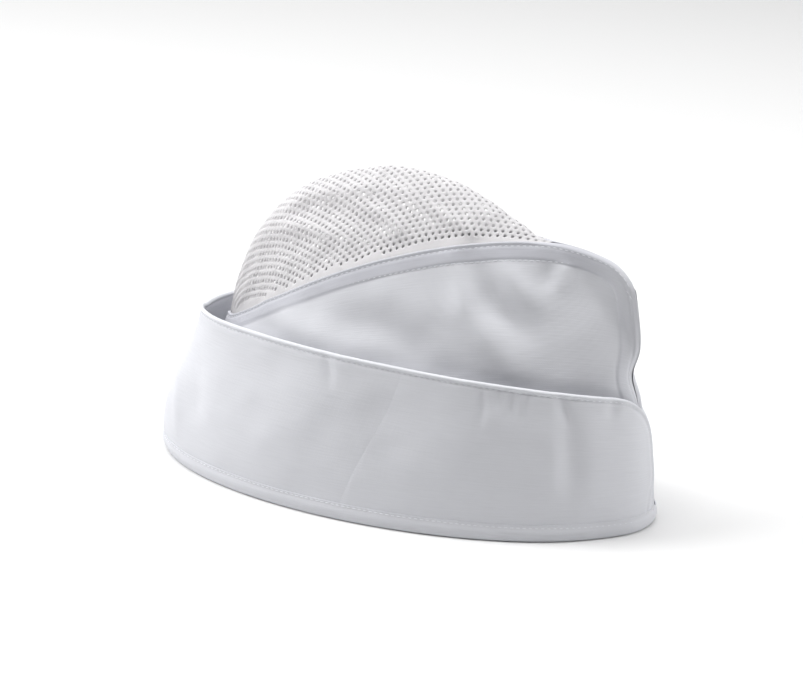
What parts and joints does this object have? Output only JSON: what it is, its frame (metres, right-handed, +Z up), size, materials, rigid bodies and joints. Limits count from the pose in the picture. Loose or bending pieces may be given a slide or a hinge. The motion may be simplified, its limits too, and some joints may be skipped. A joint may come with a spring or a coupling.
{
  "type": "kitchen side cap",
  "caption": "Cloth kitchen side cap with a turned-up cuff and an airy mesh dome between two crown panels, standing on its hem.",
  "frame": {"origin": "on the surface that the cap stands on, at the middle of the cap's box", "axes": "+X towards the front, where the cuff's ends lap over each other; -Y towards the wearer's right; +Z up, out of the top of the dome"},
  "size_m": [0.2498, 0.118, 0.1454],
  "materials": {
    "twill": "white polycotton twill, matt, with a fine weave",
    "mesh": "white knitted polyester mesh with small oval holes",
    "interlining": "off-white stiff non-woven interlining",
    "thread": "white spun polyester sewing thread"
  },
  "bodies": {
    "root": {"crown_panel_right": "twill", "crown_panel_left": "twill", "mesh_crown": "mesh", "top_tape_right": "twill", "top_tape_left": "twill", "ridge_tape": "twill", "back_tape": "twill", "cuff_front_right": "twill", "cuff_front_left": "twill", "cuff_back": "twill", "cuff_interlining": "interlining", "cuff_lining": "twill", "hem_binding": "twill", "sweatband": "twill", "crown_stitching_right": "thread", "crown_stitching_left": "thread", "cuff_stitching_right": "thread", "cuff_stitching_left": "thread", "hem_stitching": "thread", "sweatband_stitching": "thread"}
  },
  "joints": []
}
